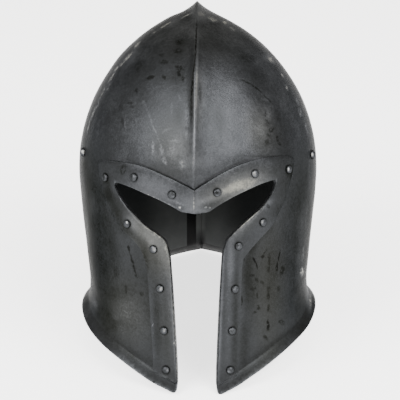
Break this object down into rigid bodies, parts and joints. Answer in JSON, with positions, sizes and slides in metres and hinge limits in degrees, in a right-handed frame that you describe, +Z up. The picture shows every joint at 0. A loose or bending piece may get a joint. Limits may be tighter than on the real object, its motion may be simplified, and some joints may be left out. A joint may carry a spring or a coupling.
{
  "type": "barbute helmet",
  "caption": "Open-faced steel barbute with a keeled skull, a Y-shaped face opening edged by a riveted border plate, a narrow waist and a turned-out lower edge.",
  "frame": {"origin": "centre of the bounding box, on the surface that the helmet lies on", "axes": "+X to the right of someone who looks at its face, -Y the way the face looks, +Z up; the helmet lies back 18.3 degrees on its cheek points and neck rim"},
  "size_m": [0.2176, 0.298, 0.2866],
  "materials": {
    "blackened_steel": "blackened, rubbed back and waxed",
    "worn_border_steel": "blackened, worn brighter along the edges",
    "rivet_steel": "blackened, heads rubbed bright"
  },
  "bodies": {
    "root": {"skull": "blackened_steel", "face_border": "worn_border_steel", "rivet_brow_left_1": "rivet_steel", "rivet_brow_left_2": "rivet_steel", "rivet_brow_left_3": "rivet_steel", "rivet_brow_right_1": "rivet_steel", "rivet_brow_right_2": "rivet_steel", "rivet_brow_right_3": "rivet_steel", "rivet_cheek_left_1": "rivet_steel", "rivet_cheek_left_2": "rivet_steel", "rivet_cheek_left_3": "rivet_steel", "rivet_cheek_left_4": "rivet_steel", "rivet_cheek_left_5": "rivet_steel", "rivet_cheek_right_1": "rivet_steel", "rivet_cheek_right_2": "rivet_steel", "rivet_cheek_right_3": "rivet_steel", "rivet_cheek_right_4": "rivet_steel", "rivet_cheek_right_5": "rivet_steel", "rivet_side_left": "rivet_steel", "rivet_side_right": "rivet_steel"}
  },
  "joints": []
}
